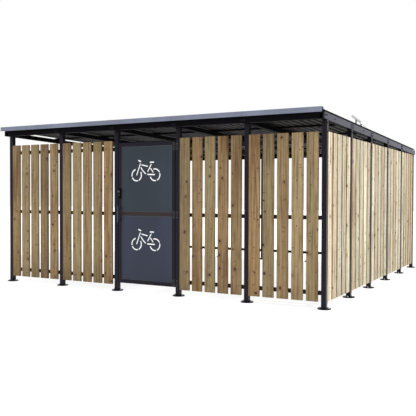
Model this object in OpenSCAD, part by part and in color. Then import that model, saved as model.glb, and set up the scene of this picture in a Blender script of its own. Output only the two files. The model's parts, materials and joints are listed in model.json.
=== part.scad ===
// Bike shelter: a bolted frame of square steel posts on round feet, with vertical timber
// boards on two sides, two open sides, one door and a ribbed steel roof that falls
// slightly to the back.
// Millimetres, +Z up, the door side faces -Y. The origin is on the ground at the middle.

/* [Frame] */
// Distance between post centres along the front
bay_w = 1000; // [900:10:1250]
// Distance between post centres along a side
side_bay = 1000; // [900:10:1350]
// Width of the square posts and beams
post_w = 60; // [50:1:80]
// Wall thickness of the square tubes
tube_wall = 3; // [2:0.5:5]
// Height of the underside of the beams above the ground, at the front
head_h = 2220; // [2210:10:2700]
// Fall of the roof from the front posts to the back posts
roof_fall = 124; // [0:2:124]
// Height of the beams
beam_h = 60; // [40:5:100]
// How far the beams run past the faces of the outer posts
beam_run = 105; // [65:5:160]
// Diameter of the round feet
foot_d = 160; // [110:5:220]
// Thickness of the round feet
foot_t = 12; // [6:1:25]

/* [Cladding] */
// Width of one board
board_w = 145; // [100:5:150]
// Thickness of one board
board_t = 28; // [18:1:30]
// Length of one board
board_len = 2000; // [1900:5:2005]
// Height of the lower ends of the boards above the ground
board_lift = 85; // [40:5:90]
// Height of the rails behind the boards
rail_h = 50; // [25:1:60]
// Thickness of the rails behind the boards
rail_t = 25; // [15:1:28]
// Height of the middle of the bottom rail
rail_low = 187; // [160:1:260]
// Height of the middle of the centre rail
rail_mid = 1074; // [800:1:1300]
// Height of the middle of the top rail
rail_high = 1972; // [1500:1:1980]

/* [Roof] */
// Height of the purlins between the beams and the sheet
purlin_h = 20; // [15:1:50]
// Width of the purlins
purlin_w = 50; // [30:5:80]
// Depth of the ribs of the roof sheet
rib_h = 20; // [12:1:40]
// Distance from one rib of the roof sheet to the next
rib_pitch = 100; // [80:5:200]
// Thickness of the roof sheet
sheet_t = 2; // [1:0.5:4]
// Reach of the roof in front of the front posts
eave_front = 190; // [180:5:300]
// Reach of the roof behind the back posts
eave_back = 120; // [110:5:250]
// Height of the front fascia
fascia_h = 61; // [50:1:120]
// How far the fascia stands above the roof sheet
fascia_up = 25; // [10:1:60]
// Depth of the fascia's top from front to back
fascia_deep = 60; // [40:5:120]
// Thickness of the folded fascias
fascia_t = 3; // [1:0.5:5]
// Height of the fascia along the right-hand side
side_fascia_h = 78; // [60:1:100]

/* [Door] */
// Height of the underside of the door above the ground
door_lift = 116; // [60:2:150]
// Height of the door
door_h = 1934; // [1850:2:2000]
// Gap between the door and each door post
door_gap = 10; // [7:1:15]
// Thickness of the door's frame
leaf_t = 40; // [30:1:50]
// Width of the door's upright stiles
stile_w = 50; // [40:1:80]
// Height of the door's rails
door_rail_h = 52; // [40:1:90]
// Height of the middle of the door's centre rail
door_mid = 1077; // [900:1:1250]
// Thickness of the door's sheet panels
panel_t = 3; // [1.5:0.5:6]
// How far the panels lie behind the face of the door's frame
panel_set = 8; // [3:1:15]

/* [Ironmongery] */
// Height of one hinge
hinge_h = 100; // [70:5:140]
// Width of one hinge plate
hinge_w = 45; // [30:1:50]
// Thickness of a hinge plate
hinge_t = 5; // [3:0.5:8]
// Radius of a hinge knuckle
knuckle_r = 9; // [8:0.5:12]
// Radius of a hinge pin
pin_r = 5; // [3:0.5:6]
// Radial play between a hinge pin and its bore
pin_play = 0.25; // [0.1:0.05:0.5]
// Length of the pull handle
handle_len = 224; // [150:2:400]
// Diameter of the pull handle's grip
handle_d = 20; // [14:1:30]
// Distance from the door's face to the middle of the grip
handle_out = 55; // [40:1:90]
// Height of the middle of the pull handle
handle_z = 1070; // [950:1:1150]
// Width of the lock case
lock_w = 40; // [30:1:48]
// Height of the lock case
lock_h = 140; // [100:5:200]
// Depth of the lock case
lock_t = 20; // [12:1:35]
// Height of the middle of the lock case
lock_z = 1356; // [1340:1:1500]

/* [Solar panel] */
// Length of the panel, from front to back
solar_len = 350; // [200:10:600]
// Width of the panel, measured up its lean
solar_w = 170; // [100:10:300]
// Thickness of the panel's frame
solar_t = 30; // [15:1:50]
// Rise of the panel's front end over the roof, in degrees
solar_tilt = 3.9; // [0:0.1:8]
// Lean of the panel towards the right-hand side, in degrees
solar_lean = 37; // [0:1:45]
// Distance from the front posts' faces to the panel's front end
solar_from = 1430; // [600:10:2500]
// Distance from the roof's right edge to the panel's low edge
solar_in = 15; // [5:1:20]
// Width of the square legs under the panel
solar_leg = 14; // [10:1:24]

/* [Hidden] */
front_bays = 5;
side_bays = 5;
door_bay = 2;
boards = 5;
left_lines = [3, 4];
strike_t = 3;
strike_w = 24;
fascia_joint = 2;
hinge_clear = 1.5;
solar_seat = 8;
cut = 1;

// Overall frame: outer faces of the posts, and the roof's reach past them.
x_out = (front_bays * bay_w + post_w) / 2;
post_x = x_out - post_w / 2;
frame_y = side_bays * side_bay + post_w;

// The roof's own frame: y from the front posts' faces, z from the beams' undersides.
roof_slope = atan(roof_fall / frame_y);
roof_y = frame_y / cos(roof_slope);
roof_front = -eave_front;
roof_back = roof_y + eave_back;

// Heights of the roof's layers in that frame.
sheet_z = beam_h + purlin_h;
sheet_top = sheet_z + rib_h + sheet_t;
fascia_top = sheet_top + fascia_up;
fascia_low = fascia_top - fascia_h;

// The overall depth is centred, from the fascia's lower edge to the sheet's back edge.
y_front = -round((frame_y + (eave_back - eave_front) * cos(roof_slope)
                  + (fascia_low + sheet_top) * sin(roof_slope)) / 2);
y_back = y_front + frame_y;

// Clear widths between posts, and the pitch of the boards in them.
front_clear = bay_w - post_w;
side_clear = side_bay - post_w;

// Door: the leaf hangs in the middle bay, on the post at its right.
leaf_w = front_clear - 2 * door_gap;
leaf_x = leaf_w / 2;
axis_x = (front_clear - door_gap) / 2;
axis_y = y_front - knuckle_r;
door_top = door_lift + door_h;
hinge_z = [door_lift + 52, door_mid - 4, door_top - 72];

// Solar panel: the lowest corner of its underside, in the roof's frame.
solar_x = x_out - solar_in;
solar_low = sheet_top + solar_seat;

// Centre of a front post, counted from the left, and of a side post, from the front.
function front_post_x(i) = -post_x + i * bay_w;
function side_post_y(i) = y_front + side_line(i);
function side_line(i) = post_w / 2 + i * side_bay;

// Moves its children from the roof's frame onto the slope.
module on_slope() {
    translate([0, y_front, head_h])
        rotate([-roof_slope, 0, 0])
            children();
}

// A square post standing on its foot, with its top cut to the slope of the beams.
module post(x, y) {
    difference() {
        translate([x, y, foot_t])
            linear_extrude(head_h - foot_t)
                difference() {
                    square(post_w, center = true);
                    square(post_w - 2 * tube_wall, center = true);
                }
        on_slope()
            translate([-2 * x_out, -frame_y, 0])
                cube([4 * x_out, 3 * frame_y, head_h]);
    }
}

// A round foot.
module foot(x, y) {
    translate([x, y, 0])
        cylinder(d = foot_d, h = foot_t, $fn = 64);
}

// A rectangular tube lying along X, from its lowest corner.
module tube_x(x, y, z, length, depth, height) {
    translate([x, y, z])
        difference() {
            cube([length, depth, height]);
            translate([-cut, tube_wall, tube_wall])
                cube([length + 2 * cut, depth - 2 * tube_wall, height - 2 * tube_wall]);
        }
}

// A rectangular tube lying along Y, from its lowest corner.
module tube_y(x, y, z, length, width, height) {
    translate([x, y, z])
        difference() {
            cube([width, length, height]);
            translate([tube_wall, -cut, tube_wall])
                cube([width - 2 * tube_wall, length + 2 * cut, height - 2 * tube_wall]);
        }
}

// One bay of boards across the front, from the inner face of the post at its left. Each
// board stands against the one gap before it, so the last gap is at the next post.
module front_bay_boards(bay) {
    pitch = front_clear / boards;
    color("burlywood")
        for (i = [0 : boards - 1])
            translate([front_post_x(bay) + post_w / 2 + i * pitch, y_front, board_lift])
                cube([board_w, board_t, board_len]);
}

// One bay of boards along the right-hand side, from the inner face of its front post.
module right_bay_boards(bay) {
    pitch = side_clear / boards;
    color("wheat")
        for (i = [0 : boards - 1])
            translate([x_out - board_t, side_post_y(bay) + post_w / 2 + i * pitch, board_lift])
                cube([board_t, board_w, board_len]);
}

// The three rails across one front bay, behind the boards.
module front_bay_rails(bay) {
    for (z = [rail_low, rail_mid, rail_high])
        tube_x(front_post_x(bay) + post_w / 2, y_front + board_t, z - rail_h / 2,
               front_clear, rail_t, rail_h);
}

module front_feet() {
    color("dimgray")
        for (i = [0 : front_bays])
            foot(front_post_x(i), side_post_y(0));
}

module right_feet() {
    color("dimgray")
        for (i = [1 : side_bays])
            foot(post_x, side_post_y(i));
}

module left_feet() {
    color("dimgray")
        for (i = concat(left_lines, side_bays))
            foot(-post_x, side_post_y(i));
}

module back_feet() {
    color("dimgray")
        for (i = [1 : front_bays - 1])
            foot(front_post_x(i), side_post_y(side_bays));
}

module front_corner_posts() {
    color("darkslategray")
        for (i = [0, front_bays])
            post(front_post_x(i), side_post_y(0));
}

module back_corner_posts() {
    color("darkslategray")
        for (i = [0, front_bays])
            post(front_post_x(i), side_post_y(side_bays));
}

module front_posts() {
    color("darkslategray")
        for (i = [1, front_bays - 1])
            post(front_post_x(i), side_post_y(0));
}

module latch_post() {
    color("darkslategray")
        post(front_post_x(door_bay), side_post_y(0));
}

module hinge_post() {
    color("darkslategray")
        post(front_post_x(door_bay + 1), side_post_y(0));
}

module right_posts() {
    color("darkslategray")
        for (i = [1 : side_bays - 1])
            post(post_x, side_post_y(i));
}

// The left-hand side is left open over its first bays.
module left_posts() {
    color("darkslategray")
        for (i = left_lines)
            post(-post_x, side_post_y(i));
}

module back_posts() {
    color("darkslategray")
        for (i = [1 : front_bays - 1])
            post(front_post_x(i), side_post_y(side_bays));
}

// The side beams run the whole depth, and the front and back beams fit between them.
module right_beam() {
    color("slategray")
        on_slope()
            tube_y(x_out - post_w, -beam_run, 0, roof_y + 2 * beam_run, post_w, beam_h);
}

module left_beam() {
    color("slategray")
        on_slope()
            tube_y(-x_out, -beam_run, 0, roof_y + 2 * beam_run, post_w, beam_h);
}

module front_beam() {
    color("darkslategray")
        on_slope()
            tube_x(-x_out + post_w, -beam_run, 0, 2 * (x_out - post_w), post_w, beam_h);
}

module back_beam() {
    color("darkslategray")
        on_slope()
            tube_x(-x_out + post_w, roof_y + beam_run - post_w, 0,
                   2 * (x_out - post_w), post_w, beam_h);
}

// Inner rafters over the post lines, between the front and back beams.
module rafters() {
    color("darkslategray")
        on_slope()
            for (i = [1 : front_bays - 1])
                tube_y(front_post_x(i) - post_w / 2, post_w - beam_run, 0,
                       roof_y + 2 * (beam_run - post_w), post_w, beam_h);
}

// Purlins across all the beams, one over the front beam and one over each line of posts.
module purlins() {
    color("gray")
        on_slope() {
            tube_x(-x_out, -beam_run, beam_h, 2 * x_out, purlin_w, purlin_h);
            for (i = [1 : side_bays - 1])
                tube_x(-x_out, side_line(i) - purlin_w / 2, beam_h,
                       2 * x_out, purlin_w, purlin_h);
            tube_x(-x_out, roof_y + beam_run - purlin_w, beam_h,
                   2 * x_out, purlin_w, purlin_h);
        }
}

// Ribbed sheet. Its profile starts and ends on a rib, so its side edges stand clear of
// the side beams. Each rib is a flat top with two sloping flanks.
rib_top = 0.3 * rib_pitch;
rib_flank = 0.12 * rib_pitch;
ribs = floor((2 * x_out - rib_top) / rib_pitch);
rib_edge = (2 * x_out - ribs * rib_pitch) / 2;
function rib_points(i, z) = let (x = -x_out + rib_edge + (i - 0.5) * rib_pitch)
    [[x - rib_pitch / 2 + rib_top / 2, z + rib_h],
     [x - rib_pitch / 2 + rib_top / 2 + rib_flank, z],
     [x + rib_pitch / 2 - rib_top / 2 - rib_flank, z],
     [x + rib_pitch / 2 - rib_top / 2, z + rib_h]];
function profile(z) = concat(
    [[-x_out, z + rib_h]],
    [for (i = [1 : ribs]) each rib_points(i, z)],
    [[x_out, z + rib_h]]);
function reversed(points) = [for (i = [len(points) - 1 : -1 : 0]) points[i]];

module roof_sheet() {
    color("gray")
        on_slope()
            translate([0, roof_back, 0])
                rotate([90, 0, 0])
                    linear_extrude(roof_back - roof_front - fascia_t)
                        polygon(concat(profile(sheet_z),
                                       reversed(profile(sheet_z + sheet_t))));
}

// Folded front fascia: a deep front leg, a flat top and a short back leg on the sheet.
module front_fascia() {
    length = 2 * x_out / front_bays;
    color("lightsteelblue")
        on_slope()
            for (i = [0 : front_bays - 1])
                translate([-x_out + i * length + fascia_joint / 2, roof_front, 0])
                    rotate([90, 0, 90])
                        linear_extrude(length - fascia_joint)
                            polygon([
                                [0, fascia_low],
                                [fascia_t, fascia_low],
                                [fascia_t, fascia_top - fascia_t],
                                [fascia_deep - fascia_t, fascia_top - fascia_t],
                                [fascia_deep - fascia_t, sheet_top],
                                [fascia_deep, sheet_top],
                                [fascia_deep, fascia_top],
                                [0, fascia_top]]);
}

// Flat fascia on the outer face of the right-hand beam, in one length for each bay.
module right_fascia() {
    last = side_bays - 1;
    color("slategray")
        on_slope()
            for (i = [0 : last]) {
                from = i == 0 ? -beam_run : side_line(i) + fascia_joint / 2;
                to = i == last ? roof_y + beam_run : side_line(i + 1) - fascia_joint / 2;
                translate([x_out, from, 0])
                    cube([fascia_t, to - from, side_fascia_h]);
            }
}

module front_left_rails() {
    color("darkslategray")
        for (bay = [0 : door_bay - 1])
            front_bay_rails(bay);
}

module front_right_rails() {
    color("darkslategray")
        for (bay = [door_bay + 1 : front_bays - 1])
            front_bay_rails(bay);
}

module right_rails() {
    color("darkslategray")
        for (bay = [0 : side_bays - 1], z = [rail_low, rail_mid, rail_high])
            tube_y(x_out - board_t - rail_t, side_post_y(bay) + post_w / 2, z - rail_h / 2,
                   side_clear, rail_t, rail_h);
}

// The back has a bottom rail only, in one length between each two posts.
module back_rail() {
    color("darkslategray")
        for (bay = [0 : front_bays - 1])
            tube_x(front_post_x(bay) + post_w / 2, y_back - board_t - rail_t,
                   rail_low - rail_h / 2, front_clear, rail_t, rail_h);
}

module front_boards_1() { front_bay_boards(0); }
module front_boards_2() { front_bay_boards(1); }
module front_boards_3() { front_bay_boards(3); }
module front_boards_4() { front_bay_boards(4); }
module right_boards_1() { right_bay_boards(0); }
module right_boards_2() { right_bay_boards(1); }
module right_boards_3() { right_bay_boards(2); }
module right_boards_4() { right_bay_boards(3); }
module right_boards_5() { right_bay_boards(4); }

// The door's frame: two full-height stiles with three rails between them.
module door_stiles() {
    color("darkslategray")
        for (x = [-leaf_x, leaf_x - stile_w])
            translate([x, y_front, door_lift])
                difference() {
                    cube([stile_w, leaf_t, door_h]);
                    translate([tube_wall, tube_wall, tube_wall])
                        cube([stile_w - 2 * tube_wall, leaf_t - 2 * tube_wall,
                              door_h - 2 * tube_wall]);
                }
}

module door_rails() {
    color("darkslategray")
        for (z = [door_lift, door_mid - door_rail_h / 2, door_top - door_rail_h])
            tube_x(-leaf_x + stile_w, y_front, z, leaf_w - 2 * stile_w, leaf_t, door_rail_h);
}

// A sheet panel that fills the frame between two heights.
module door_panel(low, high) {
    color("steelblue")
        translate([-leaf_x + stile_w, y_front + panel_set, low])
            cube([leaf_w - 2 * stile_w, panel_t, high - low]);
}

module door_upper_panel() {
    door_panel(door_mid + door_rail_h / 2, door_top - door_rail_h);
}

module door_lower_panel() {
    door_panel(door_lift + door_rail_h, door_mid - door_rail_h / 2);
}

// One hinge plate on the side given by dir, with a knuckle over the given half height.
module hinge_plate(dir, low) {
    reach = dir > 0 ? 0 : -hinge_w;
    difference() {
        translate([reach, knuckle_r - hinge_t, -hinge_h / 2])
            cube([hinge_w, hinge_t, hinge_h]);
        translate([0, 0, -hinge_h / 2 - cut])
            cylinder(r = knuckle_r + hinge_clear, h = hinge_h + 2 * cut, $fn = 48);
    }
    neck = knuckle_r + hinge_clear + cut;
    translate([dir > 0 ? 0 : -neck, knuckle_r - hinge_t, low])
        cube([neck, hinge_t, hinge_h / 2 - hinge_clear / 2]);
    translate([0, 0, low])
        cylinder(r = knuckle_r, h = hinge_h / 2 - hinge_clear / 2, $fn = 48);
}

// The moving half of each hinge: a plate on the door with the upper knuckle, bored.
module door_hinges() {
    color("gray")
        for (z = hinge_z)
            translate([axis_x, axis_y, z])
                difference() {
                    hinge_plate(-1, hinge_clear / 2);
                    translate([0, 0, -cut])
                        cylinder(r = pin_r + pin_play, h = hinge_h, $fn = 48);
                }
}

// The fixed half of each hinge: a plate on the post with the lower knuckle and the pin.
module post_hinges() {
    color("gray")
        for (z = hinge_z)
            translate([axis_x, axis_y, z]) {
                hinge_plate(1, -hinge_h / 2);
                translate([0, 0, -hinge_h / 2])
                    cylinder(r = pin_r, h = hinge_h - 5, $fn = 48);
            }
}

module lock_case() {
    color("dimgray")
        translate([-leaf_x + (stile_w - lock_w) / 2, y_front - lock_t, lock_z - lock_h / 2])
            cube([lock_w, lock_t, lock_h]);
}

// A straight pull handle on two round standoffs.
module pull_handle() {
    x = -leaf_x + stile_w / 2;
    inset = 30;
    color("gray") {
        translate([x, y_front - handle_out, handle_z - handle_len / 2])
            cylinder(d = handle_d, h = handle_len, $fn = 40);
        for (z = [handle_z - handle_len / 2 + inset, handle_z + handle_len / 2 - inset])
            translate([x, y_front, z])
                rotate([90, 0, 0])
                    cylinder(d = handle_d * 0.7, h = handle_out, $fn = 32);
    }
}

// Keep for the lock, on the face of the latch post that the door closes against.
module strike_plate() {
    color("silver")
        translate([-front_clear / 2, y_front + (leaf_t - strike_w) / 2, lock_z - lock_h / 2])
            cube([strike_t, strike_w, lock_h]);
}

// Moves its children onto the leaning underside of the solar panel, at its lowest corner.
module on_solar() {
    on_slope()
        translate([solar_x, solar_from + solar_len, solar_low])
            rotate([-solar_tilt, solar_lean, 0])
                children();
}

module solar_panel() {
    color("gainsboro")
        on_solar()
            translate([-solar_w, -solar_len, 0])
                cube([solar_w, solar_len, solar_t]);
}

// Two legs under the panel, cut to its underside: one on the last rib of the sheet and one
// on the rib nearest the panel's high edge, each at a share of the panel's length.
module solar_legs() {
    tall = solar_seat + solar_len * sin(solar_tilt) + solar_w * sin(solar_lean);
    reach = solar_in + solar_w * cos(solar_lean) - solar_leg / 2;
    high_rib = floor((reach - rib_edge) / rib_pitch);
    color("dimgray")
        for (leg = [[0, 0.35], [high_rib, 0.65]])
            difference() {
                on_slope()
                    translate([x_out - rib_edge - leg[0] * rib_pitch - solar_leg / 2,
                               solar_from + leg[1] * solar_len - solar_leg / 2, sheet_top])
                        cube([solar_leg, solar_leg, tall]);
                on_solar()
                    translate([-2 * solar_w, -2 * solar_len, 0])
                        cube([3 * solar_w, 3 * solar_len, 2 * solar_len]);
            }
}

front_feet();
right_feet();
left_feet();
back_feet();
front_corner_posts();
back_corner_posts();
front_posts();
latch_post();
hinge_post();
right_posts();
left_posts();
back_posts();
front_beam();
back_beam();
right_beam();
left_beam();
rafters();
purlins();
roof_sheet();
front_fascia();
right_fascia();
front_left_rails();
front_right_rails();
right_rails();
back_rail();
front_boards_1();
front_boards_2();
front_boards_3();
front_boards_4();
right_boards_1();
right_boards_2();
right_boards_3();
right_boards_4();
right_boards_5();
door_stiles();
door_rails();
door_upper_panel();
door_lower_panel();
door_hinges();
post_hinges();
lock_case();
pull_handle();
strike_plate();
solar_panel();
solar_legs();
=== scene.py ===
"""The looks of a bike shelter: sawn boards, painted steel, fittings, light and camera."""

import json
import math
import random

import bpy
from bpy.props import FloatProperty, FloatVectorProperty, IntProperty, PointerProperty
from mathutils import Matrix, Vector


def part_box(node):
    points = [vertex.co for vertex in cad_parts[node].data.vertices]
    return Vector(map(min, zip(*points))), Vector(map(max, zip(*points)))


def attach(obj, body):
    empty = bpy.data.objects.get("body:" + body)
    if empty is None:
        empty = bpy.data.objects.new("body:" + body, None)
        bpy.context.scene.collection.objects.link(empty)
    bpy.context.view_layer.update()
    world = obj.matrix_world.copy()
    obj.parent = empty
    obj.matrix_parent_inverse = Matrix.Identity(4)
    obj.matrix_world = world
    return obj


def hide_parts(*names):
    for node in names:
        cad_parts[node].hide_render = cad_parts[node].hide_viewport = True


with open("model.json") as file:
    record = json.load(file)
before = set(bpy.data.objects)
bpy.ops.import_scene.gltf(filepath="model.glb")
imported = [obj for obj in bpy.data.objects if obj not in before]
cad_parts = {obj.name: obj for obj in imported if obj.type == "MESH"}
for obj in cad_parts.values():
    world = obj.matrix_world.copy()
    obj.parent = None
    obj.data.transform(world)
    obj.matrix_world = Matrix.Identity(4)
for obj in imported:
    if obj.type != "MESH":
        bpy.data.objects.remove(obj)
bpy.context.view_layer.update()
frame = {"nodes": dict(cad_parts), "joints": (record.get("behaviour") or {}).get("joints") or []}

bl_info = {
    "name": "Bike Shelter Looks",
    "version": (1, 0, 0),
    "blender": (4, 5, 0),
    "location": "View3D > Sidebar > Shelter",
    "description": "Dresses the frame of a bike shelter with boards, paint and fittings",
    "category": "Object",
}

SHELTER = "shelter"
DOOR = "door"
FRONT_BAYS = (1, 2, 3, 4)
RIGHT_BAYS = (1, 2, 3, 4, 5)

# The random draws for the boards: their seed, the length of grain that each board's own
# stretch is cut from, the lean towards pale tones, and the darkest and brightest shade.
SEED = 11
GRAIN_RUN = 90
TONE_BIAS = 1.1
SHADES = (0.76, 1.20)

# How much painted sunlight each bay of the side wall gets, less towards the back, and how bright
# its boards are, darker towards the back.
PAINTED_SUNLIGHT = {1: 1.0, 2: 1.0, 3: 0.97, 4: 0.92, 5: 0.88}
BRIGHTNESS = {1: 1.0, 2: 1.0, 3: 0.98, 4: 0.86, 5: 0.80}

# How squarely a face must point one way to count as facing it.
SQUARELY = 0.9

# Edges with a smaller angle between their faces are shaded smooth.
SMOOTH_BELOW = math.radians(40)

# Turns a fitting whose outward side is +Z so that it faces another way.
UP = Matrix.Identity(4)
FRONT = Matrix.Rotation(math.pi / 2, 4, "X")
RIGHT = Matrix.Rotation(math.pi / 2, 4, "Y")
LEFT = Matrix.Rotation(-math.pi / 2, 4, "Y")
BACK = Matrix.Rotation(-math.pi / 2, 4, "X")


def length(name, description, default):
    """A length setting in metres."""
    return FloatProperty(
        name=name, description=description, default=default, unit="LENGTH", precision=4, min=0
    )


def colour(name, description, default):
    """A colour setting."""
    return FloatVectorProperty(
        name=name, description=description, default=default, subtype="COLOR", size=3, min=0
    )


def share(name, description, default):
    """A setting from 0 to 1."""
    return FloatProperty(
        name=name, description=description, default=default, subtype="FACTOR", min=0, max=1
    )


def angle(name, description, default):
    """A turn, a tilt or a lean, in radians."""
    return FloatProperty(
        name=name, description=description, default=default, subtype="ANGLE",
        unit="ROTATION",
    )


class TimberSettings(bpy.types.PropertyGroup):
    """Sizes and colours of the upright boards."""

    boards_per_bay: IntProperty(
        name="Boards per bay", description="Number of boards between two posts",
        default=5, min=1,
    )
    board_width: length("Board width", "Width of one board", 0.145)
    board_thickness: length("Board thickness", "Thickness of one board", 0.028)
    edge: length("Eased edge", "Size of the rounding along a board's edges", 0.003)
    pale: colour("Pale wood", "Colour of the palest sawn face", (0.47, 0.365, 0.195))
    tan: colour("Tan wood", "Colour of a warm sawn face", (0.40, 0.265, 0.125))
    red: colour("Reddish wood", "Colour of heartwood streaks", (0.19, 0.095, 0.042))
    # Painted sunlight: this multiplier makes the boards of the side wall that faces the lamp
    # paler and bluer.
    painted_sunlight: colour("Sunned", "Times the colour of boards that the sun has bleached",
                   (1.18, 1.46, 2.08))
    streak: colour("Streak", "Times the colour of the wood in its dark streaks",
                   (0.46, 0.37, 0.29))
    knot: colour("Knot", "Colour of the middle of a knot", (0.045, 0.02, 0.01))
    roughness: share("Roughness", "Roughness of sawn timber", 0.72)


class SteelSettings(bpy.types.PropertyGroup):
    """Colours and gloss of the painted steel."""

    dark: colour("Dark paint", "Paint of the posts and rails", (0.0052, 0.0044, 0.0072))
    glint: colour("Glint", "Colour of what the dark paint mirrors", (0.84, 0.78, 1.0))
    # Painted shade: a darker, duller copy of the dark paint, for the roof frame under the sheet;
    # the lock case wears it too.
    shaded: colour("Roof frame", "Paint of the beams, rafters and purlins",
                   (0.0042, 0.0036, 0.0050))
    warm_rail: colour("Warm rail", "Paint of the door's middle rail", (0.034, 0.024, 0.021))
    handle: colour("Handle", "Paint of the door's handle", (0.042, 0.047, 0.064))
    bead: colour("Beads", "Paint of the beads round the door's panels", (0.058, 0.066, 0.084))
    trim: colour("Side trim", "Paint of the fascia along the side", (0.017, 0.0175, 0.034))
    roof: colour("Roof sheet", "Coating of the ribbed sheet", (0.023, 0.0200, 0.0195))
    fascia: colour("Front fascia", "Paint of the fascia along the front", (0.235, 0.262, 0.35))
    # The two door sheets are one paint; the lower one is drawn lighter and bluer than the upper,
    # which is painted light.
    leaf: colour("Upper sheet", "Paint of the door's upper panel", (0.029, 0.041, 0.059))
    low_leaf: colour("Lower sheet", "Paint of the door's lower panel", (0.033, 0.041, 0.074))
    fitting: colour("Fittings", "Paint of the hinges", (0.015, 0.015, 0.021))
    zinc: colour("Zinc", "Plated screws, nuts and the latch keep", (0.52, 0.53, 0.55))
    roughness: share("Roughness", "Roughness of the paint", 0.38)
    sheen: share("Shine", "Strength of the paint's reflections", 0.22)


class FixingSettings(bpy.types.PropertyGroup):
    """Sizes of screws, bolts and plates."""

    screw_radius: length("Screw head", "Radius of a board screw's head", 0.0045)
    screw_inset: length("Screw inset", "Distance from a board's edge to its screws", 0.03)
    bolt_radius: length("Bolt head", "Radius across the corners of a bolt head", 0.0105)
    roof_screw_radius: length("Roof screw", "Radius of a roof screw's washer", 0.011)
    anchor_radius: length("Anchor", "Radius across the corners of a foot's nut", 0.011)
    plate: length("Plate", "Thickness of the joint plates along the side", 0.003)
    rib_pitch: length("Rib pitch", "Distance between two ribs of the roof sheet", 0.1)


class DoorSettings(bpy.types.PropertyGroup):
    """Sizes of what the door carries."""

    sign_width: length("Sign width", "Overall width of the bicycle sign", 0.470)
    sign_proud: length("Sign thickness", "How far a sign stands off its panel", 0.0015)
    sign_white: colour("Sign", "Colour of the bicycle signs", (0.98, 0.98, 0.98))
    # Painted light: the signs glow in their own colour, though they are no lamp.
    sign_painted_glow: share("Sign glow", "How much light the signs' bright film throws back", 0.18)
    upper_rise: length("Upper sign", "Height of the upper sign above its panel's foot", 0.561)
    lower_rise: length("Lower sign", "Height of the lower sign above its panel's foot", 0.555)
    bead_width: length("Bead width", "Width of the beads round the panels", 0.012)
    bead_depth: length("Bead depth", "How far the beads stand off the panels", 0.005)
    knob_radius: length("Knob", "Radius of the knob on the lock", 0.013)


class SolarSettings(bpy.types.PropertyGroup):
    """Shape and pose of the panel on the roof."""

    thickness: length("Thickness", "Thickness of the panel's frame", 0.030)
    tilt: angle("Tilt", "Rise of the panel's front end over the roof", math.radians(3.9))
    lean: angle("Lean", "Lean of the panel towards the right-hand side", math.radians(37))


class StageSettings(bpy.types.PropertyGroup):
    """Camera, floor, sky and lamp."""

    lens: FloatProperty(
        name="Lens", description="Focal length for a 36 mm sensor", default=55.42,
        unit="CAMERA",
    )
    camera_x: FloatProperty(
        name="Camera X", description="How far right of the middle the camera stands",
        default=4.905, unit="LENGTH",
    )
    camera_y: FloatProperty(
        name="Camera Y", description="How far in front of the middle the camera stands",
        default=9.696, unit="LENGTH",
    )
    eye_level: length("Eye level", "Height of the camera", 1.342)
    camera_turn: angle("Turn", "Turn of the camera to the left", 0.5017)
    camera_tilt: angle("Tilt", "Tilt of the camera below level", 0.0209)
    camera_roll: angle("Roll", "Roll of the camera", 0.0029)
    floor_size: length("Floor size", "Side of the square floor", 90.0)
    fill: FloatProperty(
        name="Fill", description="Strength of the sky's even light", default=0.8, min=0
    )
    sun: FloatProperty(
        name="Sun", description="Strength of the lamp that lights the side wall",
        default=4.2, min=0,
    )
    sun_height: angle("Sun height", "Height of the lamp above the horizon", math.radians(38))
    sun_behind: angle("Sun behind", "How far the lamp stands behind the side wall's line",
                      math.radians(4))


SETTINGS = {
    "shelter_timber": TimberSettings,
    "shelter_steel": SteelSettings,
    "shelter_fixings": FixingSettings,
    "shelter_door": DoorSettings,
    "shelter_solar": SolarSettings,
    "shelter_stage": StageSettings,
}


# Modelling helpers


def deselect():
    """Leaves nothing selected, in object mode."""
    if bpy.context.object and bpy.context.object.mode != "OBJECT":
        bpy.ops.object.mode_set(mode="OBJECT")
    bpy.ops.object.select_all(action="DESELECT")


def activate(obj):
    """Selects one object and nothing else."""
    deselect()
    obj.select_set(True)
    bpy.context.view_layer.objects.active = obj


def settle(obj):
    """Moves an object's place, turn and size into its mesh."""
    activate(obj)
    bpy.ops.object.transform_apply(location=True, rotation=True, scale=True)
    return obj


def add_box(low, high):
    """A box between two corners."""
    deselect()
    low, high = Vector(low), Vector(high)
    bpy.ops.mesh.primitive_cube_add(size=1, location=(low + high) / 2, scale=high - low)
    return settle(bpy.context.object)


def add_rod(radius, depth, base=(0, 0, 0), sides=24):
    """An upright cylinder whose lower end stands on base."""
    deselect()
    place = Vector(base) + Vector((0, 0, depth / 2))
    bpy.ops.mesh.primitive_cylinder_add(
        vertices=sides, radius=radius, depth=depth, location=place
    )
    return settle(bpy.context.object)


def round_edges(obj, width, segments=2):
    """Rounds an object's sharp edges with a bevel that is applied."""
    activate(obj)
    bevel = obj.modifiers.new("round", "BEVEL")
    bevel.width = width
    bevel.segments = segments
    bevel.limit_method = "ANGLE"
    bpy.ops.object.modifier_apply(modifier=bevel.name)
    bpy.ops.object.shade_smooth_by_angle(angle=SMOOTH_BELOW)
    return obj


def leave_edit():
    """Goes back to object mode."""
    bpy.ops.object.mode_set(mode="OBJECT")


def select_faces(obj, wanted):
    """Goes to edit mode with only those faces selected that wanted accepts."""
    activate(obj)
    bpy.ops.object.mode_set(mode="EDIT")
    bpy.ops.mesh.select_mode(type="FACE")
    bpy.ops.mesh.select_all(action="DESELECT")
    leave_edit()
    for face in obj.data.polygons:
        face.select = wanted(face)
    bpy.ops.object.mode_set(mode="EDIT")


def select_facing(obj, direction):
    """Goes to edit mode with only those faces selected that point one way."""
    way = Vector(direction)
    select_faces(obj, lambda face: face.normal.dot(way) > SQUARELY)


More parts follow.
